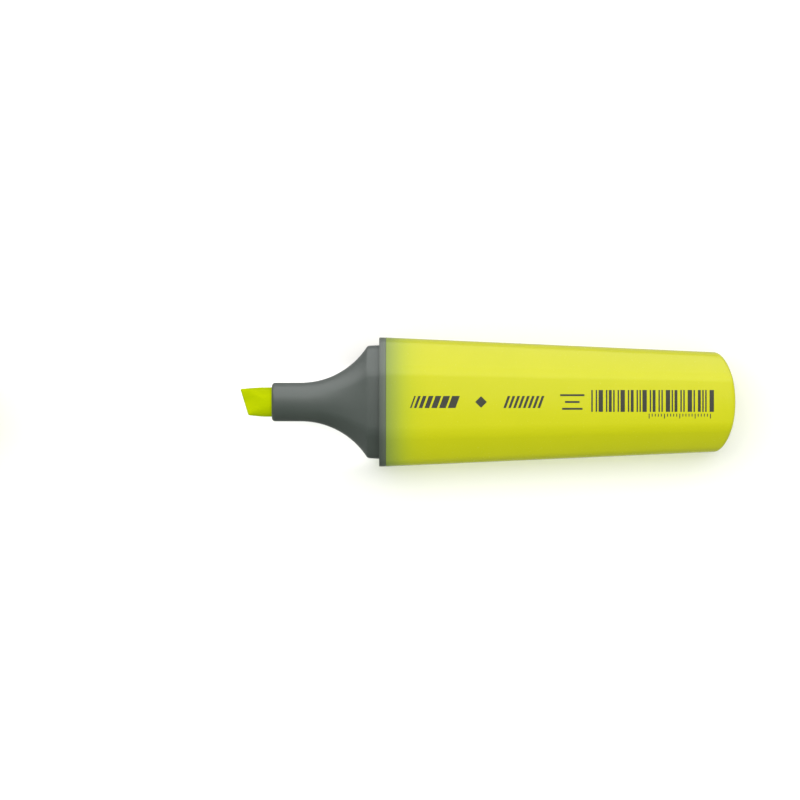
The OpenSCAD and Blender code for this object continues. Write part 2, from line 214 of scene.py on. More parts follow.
def extrude_to(x, from_x, scale_y=1.0, scale_z=1.0):
    """Extrudes the selected end face along the pen to x, and scales it there."""
    bpy.ops.mesh.extrude_region_move(TRANSFORM_OT_translate={"value": (x - from_x, 0, 0)})
    bpy.ops.transform.resize(value=(1, scale_y, scale_z), center_override=(x, 0, axis_z))
    return x


def end_size():
    """Half width and half thickness of the selected end face."""
    mesh = bmesh.from_edit_mesh(bpy.context.edit_object.data)
    corners = [v.co for v in mesh.verts if v.select]
    return max(abs(c.y) for c in corners), max(abs(c.z - axis_z) for c in corners)


def fit_end(x, from_x, wide, thick, round_by=0.0):
    """Extrudes the end face and makes it wide and thick (half sizes) at its new place.
    It is rounded towards a circle first, while it is as wide as it is thick."""
    bpy.ops.mesh.extrude_region_move(TRANSFORM_OT_translate={"value": (x - from_x, 0, 0)})
    centre = (x, 0, axis_z)
    if round_by:
        now_wide, now_thick = end_size()
        bpy.ops.transform.resize(value=(1, now_thick / now_wide, 1), center_override=centre)
        bpy.ops.transform.tosphere(value=round_by, center_override=centre)
    now_wide, now_thick = end_size()
    fitted = (1, wide / now_wide, thick / now_thick)
    bpy.ops.transform.resize(value=fitted, center_override=centre)
    return x


# %% [markdown]
# ## Barrel
# The barrel is one moulded shell: eight-sided, narrowing towards the rear in width
# only, and closed by a rear end that bows outwards. The outline is extruded to the
# rear and narrowed there. The end face is scaled inwards in steps, which gives it
# rings, and those rings are then pressed onto an elliptical cylinder by a Shrinkwrap
# modifier. Doing it in that order keeps the rings clear of the rim, so that the rim
# can still be bevelled. The front face is deleted and Solidify gives the wall.

# %% Barrel shell
BARREL_TAPER = math.radians(2.56)
BARREL_WALL = 1.1 * MM
REAR_BOW = 4.7 * MM
REAR_OVERHANG = 0.45 * MM
REAR_EDGE = 0.7 * MM
REAR_RINGS = (0.8, 0.6, 0.4, 0.2, 0.05)
LENGTH_STEPS = 3
bow_x = rear_x - REAR_BOW


def half_w_at(x):
    """Half width of the barrel at x, in line with its taper."""
    return half_w - (x - front_x) * math.tan(BARREL_TAPER)


bow_half_w = half_w_at(bow_x) + REAR_OVERHANG

barrel = outline_face("barrel_shell", front_x)
corner_x = bow_x + REAR_BOW * math.sqrt(1 - (half_w_at(bow_x) / bow_half_w) ** 2)
with editing(barrel):
    bpy.ops.mesh.select_all(action="SELECT")
    wide = half_w
    place = front_x
    for step in range(1, LENGTH_STEPS + 1):
        next_x = front_x + (corner_x - front_x) * step / LENGTH_STEPS
        place = extrude_to(next_x, place, scale_y=half_w_at(next_x) / wide)
        wide = half_w_at(next_x)
    before = 1
    for share in REAR_RINGS:
        extrude_to(place, place, share / before, share / before)
        before = share
    face_outwards()
print("barrel rear corner at", round(corner_x / MM, 2), "mm")

# %% Bowed rear end
bpy.ops.object.select_all(action="DESELECT")
bpy.ops.mesh.primitive_cylinder_add(
    vertices=720, radius=1, depth=4 * half_t, location=(bow_x, 0, axis_z)
)
bpy.context.active_object.scale = (REAR_BOW, bow_half_w, 1)
bow_form = new_piece("bow_form")
rear_group = barrel.vertex_groups.new(name="rear")
rear_group.add([v.index for v in barrel.data.vertices if near(v.co.x, corner_x)], 1, "REPLACE")
modified(
    barrel, "SHRINKWRAP", target=bow_form, wrap_method="PROJECT", use_project_x=True,
    use_negative_direction=False, use_positive_direction=True, vertex_group="rear",
)
bpy.data.objects.remove(bow_form)
print("barrel now ends at", round(max(v.co.x for v in barrel.data.vertices) / MM, 2), "mm")

# %% Rim, wall and front edge
SOFT_EDGE = 0.1 * MM
SMOOTHEST = 40
LONG_FACE = 0.5
REAR_FACE = 0.3


def parts_ends(edge, x):
    """Whether an edge runs round the pen at x, between an end face and a long face."""
    if not all(near(v.co.x, x) for v in edge.verts) or len(edge.link_faces) != 2:
        return False
    level = sorted(abs(face.normal.x) for face in edge.link_faces)
    return level[0] < LONG_FACE < level[1]


with editing(barrel):
    def on_rim(edge):
        """Whether an edge parts the bowed rear end from the long faces."""
        ahead = sorted(face.normal.x for face in edge.link_faces)
        return len(ahead) == 2 and ahead[0] < REAR_FACE < ahead[1]

    rim = pick("edges", on_rim)
    bpy.ops.mesh.bevel(offset=REAR_EDGE, segments=6, profile=0.5)
    pick("faces", lambda f: facing(f, (-1, 0, 0)))
    bpy.ops.mesh.delete(type="FACE")
modified(barrel, "SOLIDIFY", thickness=BARREL_WALL, offset=-1, use_even_offset=True)
with editing(barrel):
    def front_outline(edge):
        """Whether an edge is on the outer side of the barrel's open front."""
        middle = edge_middle(edge)
        return parts_ends(edge, front_x) and any(
            abs(f.normal.x) < LONG_FACE
            and f.normal.y * middle.y + f.normal.z * (middle.z - axis_z) > 0
            for f in edge.link_faces
        )

    pick("edges", front_outline)
    bpy.ops.mesh.bevel(offset=SOFT_EDGE, segments=2, profile=0.5)
print("rim edges bevelled:", rim)
shaded(barrel, SMOOTHEST)

# %% [markdown]
# ## Nose section
# The grey nose is one moulding: a thin collar as wide as the barrel, a shoulder that
# the cap's mouth slides over, a flare, and a round tube that holds the nib. It is
# drawn in one run from the collar forwards, always by extruding the same end face.
# Along the flare the face shrinks on two circular arcs, one for the width and a much
# flatter one for the thickness, and turns little by little from eight sides to a
# circle. The wide face therefore runs out in a long soft triangle, as on the real one.

# %% Collar and shoulder
COLLAR_L = 1.4 * MM
COLLAR_STEP = 1.6 * MM
SHOULDER_L = 2.4 * MM
SHOULDER_DRAFT = 0.12 * MM
FLARE_L = 13.8 * MM
TUBE_WALL = 0.9 * MM
NIB_FIT = 0.03 * MM
EIGHT_SIDED_POWER = 1.5
FLARE_STEPS = 20

nib_r = nib_high.y
bore_r = nib_r + NIB_FIT
tube_r = bore_r + TUBE_WALL
tube_x = nose_low.x
collar_x = front_x - COLLAR_L
shoulder_x = collar_x - SHOULDER_L
flare_x = shoulder_x - FLARE_L
shoulder_w = half_w - COLLAR_STEP - SHOULDER_DRAFT
shoulder_t = half_t - COLLAR_STEP - SHOULDER_DRAFT


def flare_rise(x, height):
    """Height over the tube of a concave arc that starts level and rises along the flare."""
    radius = (FLARE_L**2 + height**2) / (2 * height)
    return radius - math.sqrt(radius**2 - (x - flare_x) ** 2)


nose = outline_face("nose_moulding", front_x)
with editing(nose):
    bpy.ops.mesh.select_all(action="SELECT")
    place = extrude_to(collar_x, front_x)
    bpy.ops.mesh.inset(thickness=COLLAR_STEP)
    place = fit_end(shoulder_x, place, shoulder_w, shoulder_t)
    eight_sided = 1.0
    for step in range(1, FLARE_STEPS + 1):
        next_x = shoulder_x - FLARE_L * step / FLARE_STEPS
        wide = tube_r + flare_rise(next_x, shoulder_w - tube_r)
        thick = tube_r + flare_rise(next_x, shoulder_t - tube_r)
        share = (1 - step / FLARE_STEPS) ** EIGHT_SIDED_POWER
        place = fit_end(next_x, place, wide, thick, round_by=1 - share / eight_sided)
        eight_sided = share
    print(f"round from {place / MM:.2f} mm, half size", [round(s / MM, 3) for s in end_size()])

# %% Tube and bore
TUBE_EDGE = 0.7 * MM
BORE_END = 0.45
bore_end_x = flare_x + BORE_END * FLARE_L
with editing(nose):
    pick("faces", lambda f: near(f.calc_center_median().x, flare_x) and facing(f, (-1, 0, 0)))
    fit_end(tube_x, flare_x, tube_r, tube_r)
    bpy.ops.mesh.inset(thickness=TUBE_WALL)
    extrude_to(bore_end_x, tube_x)
    print("bore half size", [round(s / MM, 3) for s in end_size()])
    pick("edges", lambda e: all(
        near(v.co.x, tube_x) and near(math.hypot(v.co.y, v.co.z - axis_z), tube_r) for v in e.verts
    ))
    bpy.ops.mesh.bevel(offset=TUBE_EDGE, segments=6, profile=0.5)

# %% [markdown]
# Behind the collar a thin spigot plugs into the barrel. It is inset from the collar's
# rear face by the barrel's wall, extruded backwards, and hollowed by a second inset.
# The hollow and the bore are then bridged, so that one channel runs right through for
# the nib, and the nose is one closed skin.

# %% Spigot and channel
SPIGOT_L = 6.0 * MM
SPIGOT_FIT = 0.05 * MM
SPIGOT_WALL = 0.9 * MM
with editing(nose):
    face_outwards()
    pick("faces", lambda f: near(f.calc_center_median().x, front_x) and facing(f, (1, 0, 0)))
    bpy.ops.mesh.inset(thickness=BARREL_WALL + SPIGOT_FIT)
    wide, thick = end_size()
    spigot_x = front_x + SPIGOT_L
    fit_end(spigot_x, front_x, wide - SPIGOT_L * math.tan(BARREL_TAPER), thick)
    bpy.ops.mesh.inset(thickness=SPIGOT_WALL)
    extrude_to(collar_x, spigot_x)
    pick("faces", lambda f: len(f.verts) > 4 and (
        near(f.calc_center_median().x, collar_x) or near(f.calc_center_median().x, bore_end_x)
    ))
    bpy.ops.mesh.bridge_edge_loops()
    face_outwards()
print(f"spigot from {front_x / MM:.2f} to {spigot_x / MM:.2f} mm")

# %% Soft edges on the nose
SHOULDER_EDGE = 0.35 * MM


def rounds_collar(edge):
    """Whether an edge runs round the collar at its front or rear, on its outer side."""
    return any(all(near(v.co.x, x) for v in edge.verts) for x in (collar_x, front_x)) and any(
        collar_x + SOFT_EDGE < face.calc_center_median().x < front_x - SOFT_EDGE
        for face in edge.link_faces
    )


with editing(nose):
    pick("edges", rounds_collar)
    bpy.ops.mesh.bevel(offset=SOFT_EDGE, segments=2, profile=0.5)
    pick("edges", lambda e: all(near(v.co.x, shoulder_x) for v in e.verts))
    bpy.ops.mesh.bevel(offset=SHOULDER_EDGE, segments=3, profile=0.5)
shaded(nose, SMOOTHEST)
print("nose:", len(nose.data.polygons), "faces, open edges:", open_edges(nose))

# %% [markdown]
# ## Nib
# The nib is a stick of felt, cut to a chisel: a slanted writing edge, two sloping
# faces that thin it towards that edge, and slightly narrowed sides. It starts as a
# cylinder along the pen, and each cut is a bisect that throws one side away and fills
# the hole, as a blade would. Felt has no sharp edges and no smooth faces, so the cuts
# are rounded, the mesh is made even by a voxel remesh, all but the writing edge is
# smoothed, and a fine noise moves it. That wears away about a fifth of a millimetre,
# so the stick starts that much too long.

# %% Cut the chisel
NIB_SLANT = 1.7 * MM
NIB_EDGE_T = 1.9 * MM
NIB_ROUND_L = 2.0 * MM
NIB_NARROWING = 0.35 * MM
FELT_LOSS = 0.2 * MM
nib_tip_x = nib_low.x - FELT_LOSS
cut_x = tube_x - NIB_ROUND_L

bpy.ops.object.select_all(action="DESELECT")
bpy.ops.mesh.primitive_cylinder_add(
    vertices=96, radius=nib_r, depth=nib_high.x - nib_tip_x,
    location=((nib_tip_x + nib_high.x) / 2, 0, axis_z), rotation=(0, math.pi / 2, 0),
)
nib = new_piece("nib_felt")


def cut(start, end, across):
    """Cuts off what lies outside the plane that runs from start to end and along across."""
    normal = (Vector(end) - Vector(start)).cross(across).normalized()
    bpy.ops.mesh.select_all(action="SELECT")
    bpy.ops.mesh.bisect(
        plane_co=start, plane_no=normal, use_fill=True, clear_outer=True, threshold=WELD
    )


tip_w = nib_r - NIB_NARROWING
edge_t = NIB_EDGE_T / 2
with editing(nib):
    long_corner = (nib_tip_x, tip_w, axis_z)
    short_corner = (nib_tip_x + NIB_SLANT, -tip_w, axis_z)
    cut(long_corner, short_corner, Vector((0, 0, 1)))
    cut((nib_tip_x, 0, axis_z + edge_t), (cut_x, 0, axis_z + nib_r), Vector((0, 1, 0)))
    cut((nib_tip_x, 0, axis_z - edge_t), (cut_x, 0, axis_z - nib_r), Vector((0, -1, 0)))
    cut(long_corner, (cut_x, nib_r, axis_z), Vector((0, 0, -1)))
    cut(short_corner, (cut_x, -nib_r, axis_z), Vector((0, 0, 1)))
print("nib faces after the cuts:", len(nib.data.polygons))

# %% Soften and roughen the felt
FELT_EDGE = 0.22 * MM
FELT_VOXEL = 0.13 * MM
FELT_GRAIN = 0.28 * MM
FELT_DEPTH = 0.07 * MM
FELT_WEAR = 0.62
EDGE_KEPT = 0.5 * MM
SMOOTH_PASSES = 120
CUT_TURN = 20


def behind_edge(place):
    """How far a place is behind the slanted writing edge, along the pen."""
    return place.x - nib_tip_x - NIB_SLANT * (tip_w - place.y) / (2 * tip_w)


with editing(nib):
    pick("edges", lambda e: e.calc_face_angle(0) > math.radians(CUT_TURN))
    bpy.ops.mesh.bevel(offset=FELT_EDGE, segments=3, profile=0.5)
modified(nib, "REMESH", mode="VOXEL", voxel_size=FELT_VOXEL, use_smooth_shade=True)
body = nib.vertex_groups.new(name="body")
body.add([v.index for v in nib.data.vertices if behind_edge(v.co) > EDGE_KEPT], 1, "REPLACE")
modified(nib, "SMOOTH", factor=0.5, iterations=SMOOTH_PASSES, vertex_group="body")
felt_noise = bpy.data.textures.new("felt_noise", "CLOUDS")
felt_noise.noise_scale = FELT_GRAIN
felt_noise.noise_depth = 2
modified(
    nib, "DISPLACE", texture=felt_noise, texture_coords="LOCAL", strength=FELT_DEPTH,
    mid_level=FELT_WEAR,
)
shaded(nib, 60)
print("nib:", len(nib.data.polygons), "faces, open edges:", open_edges(nib))

# %% [markdown]
# ## Cap
# The cap is a second shell with the same outline at its mouth. It narrows towards a
# full, rounded dome that is flatter across its thickness than across its width, so
# each half size follows its own superellipse. The eight sides fade to TIP_SHARE of
# their sharpness on the way to the tip. The end face is extruded from the mouth to
# the tip through a row of stations. The stations include both ends of each grip rib,
# so that the ribs can be raised from whole faces afterwards. A copy of the outside is
# set aside before the wall is made: it trims the socket later on.

# %% Cap shell
CAP_L = 34.29 * MM
CAP_WALL = 1.4 * MM
CAP_TAPER = math.radians(3.2)
DOME_L = 14.0 * MM
DOME_POWER_W = 2.0
DOME_POWER_T = 2.6
TIP_SHARE = 0.3
DOME_TURNS = range(8, 76, 7)
RIB_COUNT = 8
RIB_START = 11.4 * MM
RIB_PITCH = 1.9 * MM
RIB_L = 1.1 * MM
cap_tip_x = cap_low.x
mouth_x = cap_tip_x + CAP_L


def dome(back, power):
    """Fullness of the dome at a distance back from its tip, from 0 to 1."""
    return 1 if back >= DOME_L else (1 - (1 - back / DOME_L) ** power) ** (1 / power)


def cap_half_w(back):
    """Half width of the cap at a distance back from its tip."""
    straight = half_w - (CAP_L - max(back, DOME_L)) * math.tan(CAP_TAPER)
    return straight * dome(back, DOME_POWER_W)


ribs = [RIB_START + RIB_PITCH * i for i in range(RIB_COUNT)]
dome_rings = [DOME_L * (1 - math.cos(math.radians(turn))) for turn in DOME_TURNS]
stations = [back for back in dome_rings if back < RIB_START - RIB_L / 2]
stations += [back + end for back in ribs for end in (0, RIB_L)]

cap = outline_face("cap_moulding", mouth_x)
with editing(cap):
    bpy.ops.mesh.select_all(action="SELECT")
    place = mouth_x
    eight_sided = 1.0
    for back in sorted(stations, reverse=True):
        share = min(1, TIP_SHARE + (1 - TIP_SHARE) * back / DOME_L)
        place = fit_end(
            cap_tip_x + back, place, cap_half_w(back), half_t * dome(back, DOME_POWER_T),
            round_by=1 - share / eight_sided,
        )
        eight_sided = share
    extrude_to(cap_tip_x, place)
    bpy.ops.mesh.merge(type="CENTER")
    pick("faces", lambda f: facing(f, (1, 0, 0)) or (
        facing(f, (-1, 0, 0)) and f.calc_center_median().x > mouth_x - MM
    ))
    bpy.ops.mesh.delete(type="FACE")
    bpy.ops.mesh.select_all(action="SELECT")
    bpy.ops.mesh.remove_doubles(threshold=WELD)
    face_outwards()
cap_form = cap.copy()
cap_form.data = cap.data.copy()
bpy.context.collection.objects.link(cap_form)
modified(cap, "SOLIDIFY", thickness=CAP_WALL, offset=-1, use_even_offset=True)
print("cap stations:", len(stations), "open edges:", open_edges(cap))

# %% [markdown]
# ## Clip
# The clip is moulded with the cap. It springs from the dome, runs level over the wide
# face with a narrow gap, and ends in a bead that would grip a pocket's edge. Its side
# is drawn first, as a strip of faces made by extruding one short edge from station to
# station. The strip is then extruded across in narrow steps, and each step is scaled a
# little in height, which crowns the clip. It is made a little too wide (SPARE_W), and
# the part that lies in a rounded rectangle, seen from above, is kept by a Boolean. Its
# foot is sunk into the cap's wall, by a share of that wall.

# %% Side of the clip
CLIP_W = 13.3 * MM
CLIP_T = 1.5 * MM
CLIP_GAP = 0.9 * MM
CLIP_SETBACK = 9.0 * MM
CLIP_RISE_L = 8.0 * MM
CLIP_ROOT_L = 9.0 * MM
CLIP_BEAD_L = 4.0 * MM
CLIP_BEAD_H = 0.55 * MM
CLIP_CROWN = 0.4 * MM
CLIP_SINK = 0.8
CLIP_LIP = 0.4
GAP_START = 0.05 * MM
SPARE_W = 1.1
RISE_STEPS = 20
CROWN_STEPS = 16
BEAD_STEPS = 10
clip_top = cap_high.z
clip_low = clip_top - CLIP_T
face_z = axis_z + half_t
clip_end_x = cap_high.x
clip_front_x = cap_tip_x + CLIP_SETBACK
root_z = face_z - CLIP_SINK * CAP_WALL
rise_z = face_z - CLIP_LIP * CAP_WALL


def crowned(y):
    """How high the clip's section stands at y, next to its height in the middle."""
    return 1 - CLIP_CROWN * (2 * y / CLIP_W) ** 2 / (clip_top - root_z)


def clip_stations():
    """The clip's underside and top from front to end, as (x, low, high)."""
    for i in range(1, RISE_STEPS + 1):
        turn = math.pi / 2 * i / RISE_STEPS
        yield (clip_front_x + CLIP_RISE_L * (1 - math.cos(turn)), root_z,
               rise_z + (clip_top - rise_z) * math.sin(turn))
    root_x = clip_front_x + CLIP_ROOT_L
    yield root_x, root_z, clip_top
    yield root_x + GAP_START, face_z + CLIP_GAP / 3, clip_top
    yield root_x + CLIP_GAP, clip_low, clip_top
    for i in range(BEAD_STEPS + 1):
        turn = math.pi * i / BEAD_STEPS
        yield (clip_end_x - CLIP_BEAD_L / 2 * (1 + math.cos(turn)),
               clip_low - CLIP_BEAD_H * math.sin(turn), clip_top)


bpy.ops.object.select_all(action="DESELECT")
bpy.ops.mesh.primitive_plane_add(
    size=1, location=(clip_front_x - MM / 2, 0, (root_z + rise_z) / 2),
    rotation=(math.pi / 2, 0, 0),
)
bpy.context.active_object.scale = (MM, rise_z - root_z, 1)
clip = new_piece("clip_bar")
with editing(clip):
    pick("edges", lambda e: all(near(v.co.x, clip_front_x) for v in e.verts))
    x, low, high = clip_front_x, root_z, rise_z
    for next_x, next_low, next_high in clip_stations():
        move = (next_x - x, 0, (next_low + next_high - low - high) / 2)
        bpy.ops.mesh.extrude_region_move(TRANSFORM_OT_translate={"value": move})
        bpy.ops.transform.resize(
            value=(1, 1, (next_high - next_low) / (high - low)),
            center_override=(next_x, 0, (next_low + next_high) / 2),
        )
        x, low, high = next_x, next_low, next_high
    bpy.ops.mesh.select_all(action="SELECT")
    step = SPARE_W * CLIP_W / CROWN_STEPS
    y = -step * CROWN_STEPS / 2
    bpy.ops.transform.translate(value=(0, y, 0))
    bpy.ops.transform.resize(value=(1, 1, crowned(y)), center_override=(0, 0, root_z))
    for i in range(CROWN_STEPS):
        bpy.ops.mesh.extrude_region_move(TRANSFORM_OT_translate={"value": (0, step, 0)})
        bpy.ops.transform.resize(
            value=(1, 1, crowned(y + step) / crowned(y)), center_override=(0, 0, root_z)
        )
        y += step
    face_outwards()
print("clip bar open edges:", open_edges(clip))

# %% Plan of the clip
CLIP_CORNER = 4.5 * MM
CLIP_EDGE = 0.25 * MM
CORNER_STEPS = 14
LEVEL_TURN = 0.1
SHARP_TURN = 50
PLAN_H = 8 * CLIP_T
clip_l = clip_end_x - clip_front_x
bpy.ops.object.select_all(action="DESELECT")
bpy.ops.mesh.primitive_cube_add(size=1, location=((clip_end_x + clip_front_x) / 2, 0, clip_top))
bpy.context.active_object.scale = (clip_l, CLIP_W, PLAN_H)
plan = new_piece("clip_plan")
with editing(plan):
    pick("edges", lambda e: near(abs(e.verts[0].co.z - e.verts[1].co.z), PLAN_H))
    bpy.ops.mesh.bevel(offset=CLIP_CORNER, segments=CORNER_STEPS, profile=0.5)
modified(clip, "BOOLEAN", operation="INTERSECT", object=plan, solver="EXACT")
bpy.data.objects.remove(plan)
with editing(clip):
    bpy.ops.mesh.select_all(action="SELECT")
    bpy.ops.mesh.dissolve_limited(angle_limit=math.radians(LEVEL_TURN))
    pick("edges", lambda e: (
        e.calc_face_angle(0) > math.radians(SHARP_TURN)
        and edge_middle(e).z > clip_low - CLIP_BEAD_H
    ))
    bpy.ops.mesh.bevel(offset=CLIP_EDGE, segments=3, profile=0.5)
print("clip open edges:", open_edges(clip))

# %% Join the clip to the cap
modified(cap, "BOOLEAN", operation="UNION", object=clip, solver="EXACT")
bpy.data.objects.remove(clip)
print("cap with clip, open edges:", open_edges(cap))

# %% [markdown]
# Deep in the dome a short round socket holds the inner cap, which seals the nib. It is
# a cylinder with a hole inset and pushed into its rear face, trimmed to a slightly
# smaller copy of the cap's own outside, so that nothing of it can show through.

# %% Socket inside the dome
SOCKET_WALL = 1.2 * MM
SOCKET_FIT = 0.03 * MM
SOCKET_REACH = 5.6 * MM
SOCKET_TRIM = (0.96, 0.94, 0.92)
inner_low, inner_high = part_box("inner_cap")
socket_bore = inner_high.y + SOCKET_FIT
socket_end_x = inner_low.x + SOCKET_REACH
bpy.ops.object.select_all(action="DESELECT")
bpy.ops.mesh.primitive_cylinder_add(
    vertices=64, radius=socket_bore + SOCKET_WALL, depth=socket_end_x - cap_tip_x,
    location=((socket_end_x + cap_tip_x) / 2, 0, axis_z), rotation=(0, math.pi / 2, 0),
)
socket = new_piece("socket")
with editing(socket):
    pick("faces", lambda f: facing(f, (1, 0, 0)))
    bpy.ops.mesh.inset(thickness=SOCKET_WALL)
    extrude_to(inner_low.x - SOCKET_FIT, socket_end_x)
with editing(cap_form):
    pick("edges", lambda e: e.is_boundary)
    bpy.ops.mesh.edge_face_add()
    face_outwards()
    bpy.ops.transform.resize(value=SOCKET_TRIM, center_override=(mouth_x, 0, axis_z))
modified(socket, "BOOLEAN", operation="INTERSECT", object=cap_form, solver="EXACT")
bpy.data.objects.remove(cap_form)
modified(cap, "BOOLEAN", operation="UNION", object=socket, solver="EXACT")
bpy.data.objects.remove(socket)
print("cap with socket, open edges:", open_edges(cap))

# %% [markdown]
# ## Grip ribs
# Eight low ribs wrap round each narrow side of the cap, for pulling it off. Each rib
# is a strip of the shell's own faces, pushed outwards along their normals and then
# drawn together lengthwise, which slopes its two flanks.

# %% Raise the ribs
RIB_TOP_L = 0.55 * MM
RIB_H = 0.3 * MM
RIB_REACH = 0.64
RIB_MIDDLE = 0.3
RIB_FACE = 0.1
raised = 0
for back in ribs:
    middle_x = cap_tip_x + back + RIB_L / 2
    reach = RIB_REACH * cap_half_w(back + RIB_L / 2)
    for side in (-1, 1):
        with editing(cap):
            raised += pick("faces", lambda f: (
                abs(f.calc_center_median().x - middle_x) < RIB_L * RIB_MIDDLE
                and f.calc_center_median().y * side > reach
                and f.normal.y * side > RIB_FACE
            ))
            bpy.ops.mesh.extrude_region_shrink_fatten(TRANSFORM_OT_shrink_fatten={"value": RIB_H})
            bpy.ops.transform.resize(
                value=(RIB_TOP_L / RIB_L, 1, 1), center_override=(middle_x, 0, axis_z)
            )
print("rib faces raised:", raised)

# %% Round the cap's mouth
MOUTH_EDGE = 0.2 * MM
with editing(cap):
    pick("edges", lambda e: parts_ends(e, mouth_x))
    bpy.ops.mesh.bevel(offset=MOUTH_EDGE, segments=2, profile=0.5)
shaded(cap, 35)
print("cap:", len(cap.data.polygons), "faces, open edges:", open_edges(cap))

# %% [markdown]
# ## Printed marks
# The real barrel is pad printed on its wide face in one dark ink. This one carries no
# words: a row of strokes shows what the nib draws from its edge to its corner, with a
# lozenge, hatching, three rules and an ornament of bars behind it, over a small scale.
# The widths follow simple counts, so they spell and encode nothing. A print is a very
# thin layer, so each mark is a flat plane. In edit mode every new plane joins the same
# mesh. The sheet of marks is then dropped onto the barrel by a Shrinkwrap modifier,
# which makes it follow the crowned face, and Solidify gives it a film of ink.

# %% Draw a mark
MARK_H = 2.48 * MM
ROW_SLACK = 2 * MM
SLANT = math.radians(20)
above_z = axis_z + half_t + MM


def mark(from_x, long, middle_y, high, turn=0.0):
    """Adds one plane to the sheet of marks: from_x is behind the barrel's front."""
    centre = (front_x + from_x + long / 2, middle_y, above_z)
    bpy.ops.mesh.primitive_plane_add(size=1, location=centre)
    bpy.ops.transform.resize(value=(long, high, 1), center_override=centre)
    if turn:
        bpy.ops.transform.rotate(value=turn, orient_axis="Z", center_override=centre)


def slanted_row(from_x, widths, gap):
    """A row of slanted strokes, drawn too high and trimmed level by two bisects."""
    first = from_x
    with editing(marks):
        for wide in widths:
            mark(from_x, wide, 0, 2 * MARK_H, turn=SLANT)
            from_x += wide + gap
    with editing(marks):
        for side in (-1, 1):
            pick("faces", lambda f: (
                first - ROW_SLACK < f.calc_center_median().x - front_x < from_x + ROW_SLACK
            ))
            bpy.ops.mesh.bisect(
                plane_co=(0, side * MARK_H / 2, 0), plane_no=(0, side, 0), clear_outer=True,
                threshold=WELD,
            )
    return from_x - gap


# %% Strokes, lozenge and hatching
STROKE_START = 5.4 * MM
STROKE_GAP = 0.5 * MM
STROKE_WIDTHS = [(0.3 + 0.2 * i) * MM for i in range(7)]
HATCH_START = 24.6 * MM
HATCH_W = 0.5 * MM
HATCH_COUNT = 8
LOZENGE_X = 18.7 * MM
LOZENGE_SIDE = 1.7 * MM
bpy.ops.object.select_all(action="DESELECT")
bpy.ops.mesh.primitive_plane_add(
    size=LOZENGE_SIDE, location=(front_x + LOZENGE_X + LOZENGE_SIDE / 2, 0, above_z),
    rotation=(0, 0, math.pi / 4),
)
marks = new_piece("printed_marks")
strokes_end = slanted_row(STROKE_START, STROKE_WIDTHS, STROKE_GAP)
hatch_end = slanted_row(HATCH_START, [HATCH_W] * HATCH_COUNT, HATCH_W)
print(f"strokes end at {strokes_end / MM:.1f} and hatching at {hatch_end / MM:.1f} mm")

# %% Rules, bars and scale
RULE_X = 38.3 * MM
RULE_H = 0.4 * MM
RULE_PITCH = 1.4 * MM
RULE_LENGTHS = (5.0 * MM, 3.0 * MM, 4.2 * MM)
BARS_START = 42.2 * MM
BARS_END = 67.5 * MM
BARS_Y = 0.22 * MM
BARS_H = 4.5 * MM
BAR = 0.3 * MM
BAR_WIDTHS = (1, 1, 3, 1, 2)
BAR_GAPS = (2, 1, 2, 1, 1, 2, 1)
SCALE_START = 54.0 * MM
SCALE_TOP = -2.4 * MM
TICK_W = 0.18 * MM
TICK_PITCH = 0.63 * MM
TICK_COUNT = 21
TICK_H = 0.6 * MM
FIFTH_TICK_H = 1.0 * MM
with editing(marks):
    for i, long in enumerate(RULE_LENGTHS):
        mark(RULE_X - long / 2, long, (1 - i) * RULE_PITCH, RULE_H)
    place, bars = BARS_START, 0
    while place < BARS_END:
        wide = BAR * BAR_WIDTHS[bars % len(BAR_WIDTHS)]
        mark(place, wide, BARS_Y, BARS_H)
        place += wide + BAR * BAR_GAPS[bars % len(BAR_GAPS)]
        bars += 1
    for i in range(TICK_COUNT):
        tick_h = TICK_H if i % 5 else FIFTH_TICK_H
        mark(SCALE_START + TICK_PITCH * i, TICK_W, SCALE_TOP - tick_h / 2, tick_h)
print("bars:", bars, "ending at", round(place / MM, 1), "mm")

# %% Lay the marks on the barrel
INK_PROUD = 0.012 * MM
INK_FILM = 0.05 * MM
with editing(marks):
    bpy.ops.mesh.select_all(action="SELECT")
    bpy.ops.mesh.subdivide(number_cuts=3)
    face_outwards()
    if bmesh.from_edit_mesh(marks.data).faces[:][0].normal.z < 0:
        bpy.ops.mesh.flip_normals()
modified(
    marks, "SHRINKWRAP", target=barrel, wrap_method="PROJECT", use_project_z=True,
    use_negative_direction=True, use_positive_direction=False,
)
with editing(marks):
    bpy.ops.mesh.select_all(action="SELECT")
    bpy.ops.transform.translate(value=(0, 0, INK_PROUD))
modified(marks, "SOLIDIFY", thickness=INK_FILM, offset=-1)
print("marks:", len(marks.data.polygons), "faces, open edges:", open_edges(marks))
print("top of the ink:", round(max(v.co.z for v in marks.data.vertices) / MM, 3), "mm")

# %% [markdown]
# ## Finishes
# Every finish is a Principled shader fed by a few procedural nodes on Object
# coordinates, so it needs no unwrapping and sits still on the piece. `finish_named`
# builds the part that all of them share: a slow noise that shifts the colour a little,
# a fine noise for the grain of the mould or the felt, and a bump. What is the same all
# over a surface, such as the specular level, is set straight on the shader.

# %% A finish with grain
DRIFT = 0.05
DRIFT_DETAIL = 3
DRIFT_ENDS = (0.3, 0.7)
FINE_DETAIL = 4
BUMP = 0.6


